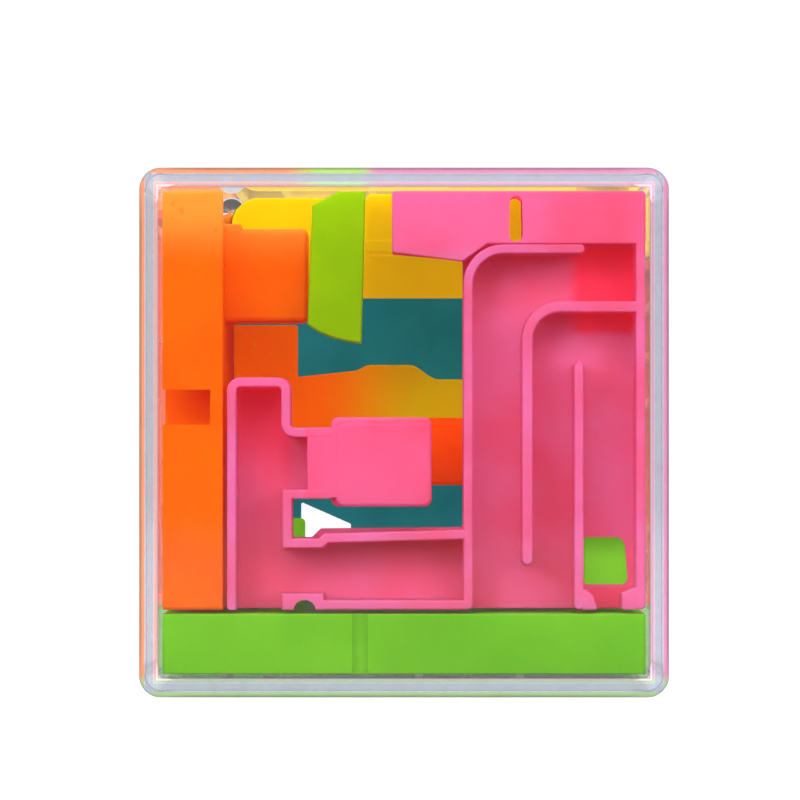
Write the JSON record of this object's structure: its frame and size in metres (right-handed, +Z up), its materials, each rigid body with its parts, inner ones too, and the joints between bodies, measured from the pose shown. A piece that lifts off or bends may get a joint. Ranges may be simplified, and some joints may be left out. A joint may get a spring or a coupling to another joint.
{
  "type": "maze ball puzzle",
  "caption": "Clear cube case holding coloured moulded maze plates that face outwards, with chutes between them and a steel ball that rolls through the corridors",
  "frame": {"origin": "the middle of the underside, on the surface the cube stands on", "axes": "+Z up, -Y out of the front face with the pink plate, +X to the right seen from the front"},
  "size_m": [0.042, 0.042, 0.042],
  "materials": {
    "clear_case": "clear, polished, faintly blue at the edges",
    "pink": "moulded, slightly see-through, satin",
    "orange": "moulded, slightly see-through, satin",
    "orange_red": "moulded, slightly see-through, satin",
    "teal": "moulded, slightly see-through, satin",
    "yellow": "moulded, satin",
    "green": "moulded, slightly see-through, satin",
    "lime": "moulded, satin",
    "amber": "moulded, satin",
    "steel": "polished steel"
  },
  "bodies": {
    "cube": {"case_base": "clear_case", "front_plate": "pink", "left_plate": "orange", "right_plate": "orange_red", "back_plate": "teal", "top_plate": "yellow", "bottom_plate": "green", "funnel": "lime", "crossing_chute": "amber"},
    "lid": {"case_lid": "clear_case"},
    "ball": {"steel_ball": "steel"}
  },
  "joints": [
    {"name": "ball_roll", "type": "slide", "parent": "cube", "child": "ball", "axis": [1, 0, 0], "range_m": [-0.0038, 0.005]},
    {"name": "lid_off", "type": "slide", "parent": "cube", "child": "lid", "axis": [0, -1, 0], "range_m": [0, 0.045]}
  ]
}
